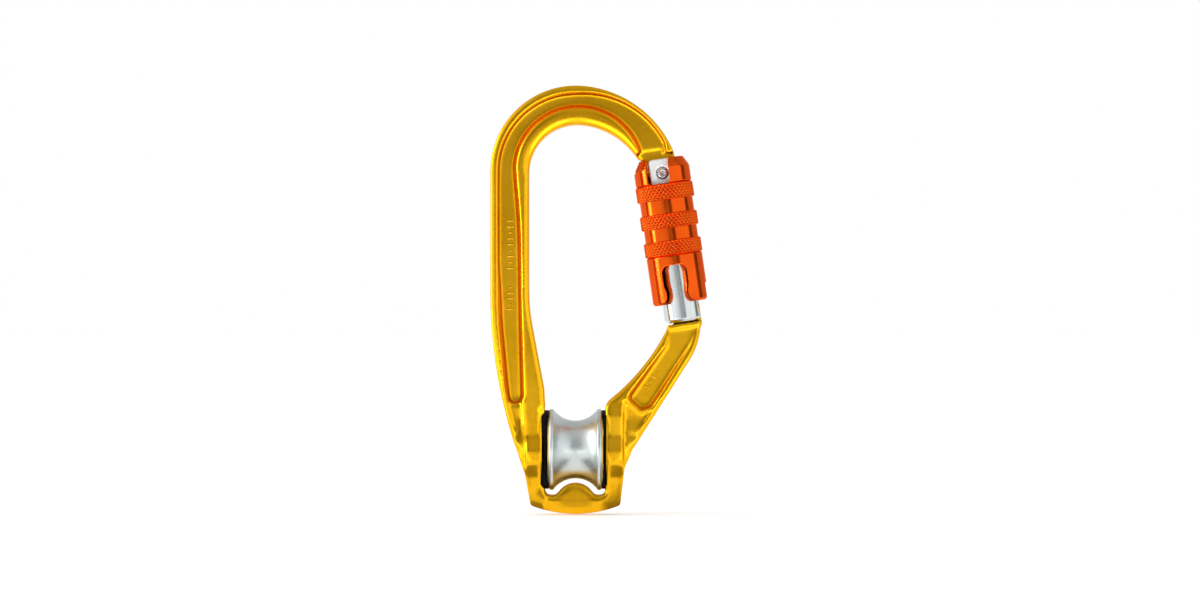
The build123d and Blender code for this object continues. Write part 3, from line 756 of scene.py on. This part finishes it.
def cut_flush(mesh, half):
    """Cuts a mesh off at this distance on both sides of the middle plane, and closes the cuts."""
    bm = bmesh.new()
    bm.from_mesh(mesh)
    for sign in (-1, 1):
        place, outwards = (0.0, sign * half * MM, 0.0), (0, sign, 0)
        whole = [*bm.verts, *bm.edges, *bm.faces]
        cut = bmesh.ops.bisect_plane(bm, geom=whole, plane_co=place, plane_no=outwards, clear_outer=True)
        rim = [e for e in cut["geom_cut"] if isinstance(e, bmesh.types.BMEdge)]
        bmesh.ops.edgenet_fill(bm, edges=rim)
    bmesh.ops.recalc_face_normals(bm, faces=bm.faces)
    bm.to_mesh(mesh)
    bm.free()


def washer_piece(side):
    """Black side disc with a lip that follows the sheave's rim, cut off flush with the cheek: a real thrust
    washer, widened nearly to the sheave's rim and made black to stand in for the shade in the gap.
    """
    node = "side_washer_" + side
    box_low, box_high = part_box(node)
    outer = max(abs(box_low[0]), abs(box_high[0])) / MM
    half, radius = box_high[1] / MM, box_high[2] / MM
    # Painted shade: the disc runs out nearly to the rim so that its black fills the shaded gap beside the
    # sheave.
    profile = [(DISC_BORE_R, 8.4), (DISC_HUB_R, 8.4), (DISC_HUB_R, 8.66), (8.68, 8.66), (8.72, 8.48)]
    profile += [(10.3, 8.48), (10.35, 8.66), (11.1, 8.66), (radius - 0.1, 8.24), (radius, 8.45)]
    profile += [(radius, outer), (DISC_BORE_R, outer)]
    profile = rounded(profile, [0.02, 0.05, 0.02, 0.03, 0.03, 0.03, 0.03, 0.2, 0.08, 0.08, 0.1, 0.02], 3)
    turn = Matrix.Rotation(math.pi / 2 if side == "right" else -math.pi / 2, 4, "Y")
    obj = lathe(node + "_lipped", profile, turn, 192)
    cut_flush(obj.data, half)
    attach(obj, "frame")
    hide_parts(node)
    return paint(obj, plastic)


def spring_piece(node, body, radius, wire, turns, low, high):
    """Coil spring about the gate's axis."""
    around, per_turn = 12, 40
    steps = turns * per_turn
    verts = []
    for k in range(steps + 1):
        t = k / steps
        a = 2 * math.pi * turns * t
        z = low + wire + (high - low - 2 * wire) * t
        for i in range(around):
            b = 2 * math.pi * i / around
            r = radius + wire * math.cos(b)
            verts.append((r * math.cos(a) * MM, r * math.sin(a) * MM, (z + wire * math.sin(b)) * MM))
    faces = [tuple(range(around)), tuple(range(steps * around, (steps + 1) * around))]
    for k in range(steps):
        for i in range(around):
            j = (i + 1) % around
            faces.append((k * around + i, k * around + j, (k + 1) * around + j, (k + 1) * around + i))
    obj = new_object(node + "_coil", verts, faces, GATE_TO_ROW)
    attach(obj, body)
    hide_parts(node)
    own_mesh(obj)
    return paint(obj, spring)


sheave_piece()
rivet_piece()
washer_piece("left")
washer_piece("right")
spring_piece(
    "gate_spring", "gate", radius=1.2, wire=0.18, turns=14,
    low=-21.55, high=-9.55
)
spring_piece(
    "sleeve_spring", "sleeve_carrier", radius=5.15, wire=0.4, turns=7,
    low=-21.95, high=-7.05
)


# ---------------------------------------------------------------- finishes of the CAD pieces

PAIRS = ("bearing_inner_ring_", "bearing_outer_ring_", "bearing_balls_")
FINISH = (
    (gold, ("frame",)),
    (orange, ("sleeve",)),
    (silver, ("gate_body",)),
    (sheave_metal, ("sheave",)),
    (steel, ("axle", "hinge_rivet", "guide_pin", "gate_plunger", "sleeve_collar")),
    (spring, ("gate_spring", "sleeve_spring")),
    (bearing, ("bearing_spacer", *(pair + side for pair in PAIRS for side in ("left", "right")))),
    (plastic, ("side_washer_left", "side_washer_right", "bearing_seals_left", "bearing_seals_right")),
)
for finish, nodes in FINISH:
    for node_name in nodes:
        paint(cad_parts[node_name], finish)


# ---------------------------------------------------------------- stage, light and camera

STUDIO_RING = (
    (-180, 0.8), (-104, 0.7), (-98, 2.5), (-72, 2.5), (-66, 1.1), (-36, 0.95), (-28, 0.2), (-7, 0.2),
    (-5, 0.52), (5, 0.52), (7, 0.2), (16, 0.2), (22, 1.15), (82, 1.2), (88, 0.2), (101, 0.2), (107, 0.7),
    (180, 0.8),
)
RING_BRIGHTEST = 2.5
CEILING = (0.6, 0.6, 0.6)
WHITE = (1.0, 1.0, 1.0)
FLOOR_GLOW, LANE_SHADE = 0.4, 0.3
OBJECT_MIDDLE = (0.006, 0.0, 0.047)
CAMERA_PLACE, CAMERA_LENS, CAMERA_SENSOR = (0.00766, -1.2, 0.0467), 115.2, 36.0


def floor_material():
    """White sweep. Only reflections see a darker lane towards the camera and a painted shadow in patches
    underneath the object.
    """
    n = Surface("studio_floor")
    tone = n.ramp(n.noise(6.0, 3.0, 0.5), [(0.3, (0.90, 0.90, 0.90)), (0.7, (0.93, 0.93, 0.93))])
    place = n.parts(n.coord)
    across, away = n.maths("ABSOLUTE", place[0]), n.maths("ABSOLUTE", place[1])
    lane = n.range(place[1], -0.50, -0.36, 1.0, 0.0)
    lane = n.maths("MULTIPLY", lane, n.range(across, 0.10, 0.30, 1.0, 0.0))
    # Painted shadow: patches right under the object, seen only in reflections, glow less and are darker.
    shadow_under = n.range(away, 0.028, 0.036, 1.0, 0.0)
    shadow_under = n.maths("MULTIPLY", shadow_under, n.range(across, 0.03, 0.05, 1.0, 0.0))
    shadow_under = n.maths("MULTIPLY", shadow_under, n.range(across, 0.008, 0.011, 0.0, 1.0))
    reflected = n.maths("SUBTRACT", 1.0, n.node("ShaderNodeLightPath").outputs["Is Camera Ray"])
    dark = n.maths("MULTIPLY", n.maths("MAXIMUM", lane, shadow_under), reflected)
    glow = n.maths("SUBTRACT", FLOOR_GLOW, n.maths("MULTIPLY", dark, LANE_SHADE))
    return n.finished(
        Base_Color=n.mix(dark, tone, (0.3, 0.3, 0.3)), Roughness=0.9, Specular_IOR_Level=0.1,
        Emission_Color=(1.0, 1.0, 1.0, 1.0), Emission_Strength=glow
    )


def studio_floor():
    low = cad_box[0]
    bpy.ops.mesh.primitive_plane_add(size=14.0, location=(0.0, 0.0, low.z - 0.0004))
    floor = bpy.context.object
    floor.name = "studio_floor"
    paint(floor, floor_material())


def studio_world():
    """White to the camera. Reflections see a ring of light and dark cards under a grey ceiling."""
    world = bpy.data.worlds.new("studio")
    bpy.context.scene.world = world
    world.use_nodes = True
    world.node_tree.nodes.clear()
    n = Nodes(world.node_tree, "Generated")
    x, y, z = n.parts(n.coord)
    azimuth = n.maths("ARCTAN2", x, n.maths("MULTIPLY", y, -1.0))
    stops = [((degrees + 180) / 360, (value / RING_BRIGHTEST,) * 3) for degrees, value in STUDIO_RING]
    ring = n.ramp(n.range(azimuth, -math.pi, math.pi, 0.0, 1.0), stops)
    ring = n.maths("MULTIPLY", ring, RING_BRIGHTEST)
    around = n.mix(n.range(z, 0.25, 0.9, 0.0, 1.0), ring, CEILING)
    seen = n.mix(n.node("ShaderNodeLightPath").outputs["Is Camera Ray"], around, WHITE)
    background = n.node("ShaderNodeBackground", {"Color": seen})
    n.node("ShaderNodeOutputWorld", {"Surface": background.outputs[0]})


def area_light(name, place, target, size, power):
    data = bpy.data.lights.new(name, "AREA")
    data.shape = "RECTANGLE"
    data.size, data.size_y = size
    data.energy = power
    light = bpy.data.objects.new(name, data)
    bpy.context.scene.collection.objects.link(light)
    light.location = place
    light.rotation_euler = (Vector(target) - Vector(place)).to_track_quat("-Z", "Y").to_euler()


def lights():
    """A strip for the long highlights down the left, and two low panels that light the foot from below."""
    area_light("strip_left", (-0.45, -0.08, 0.14), OBJECT_MIDDLE, (0.12, 0.32), 0.75)
    for name, x in (("low_panel_left", -0.127), ("low_panel_right", 0.127)):
        area_light(name, (x, -0.21, -0.018), (x, -0.21, 1.0), (0.21, 0.12), 0.24)


def camera():
    data = bpy.data.cameras.new("camera")
    data.lens = CAMERA_LENS
    data.sensor_width = CAMERA_SENSOR
    cam = bpy.data.objects.new("camera", data)
    bpy.context.scene.collection.objects.link(cam)
    cam.location = CAMERA_PLACE
    cam.rotation_euler = (math.pi / 2, 0.0, 0.0)
    bpy.context.scene.camera = cam


studio_floor()
studio_world()
lights()
camera()
bpy.context.scene.view_settings.view_transform = "Standard"
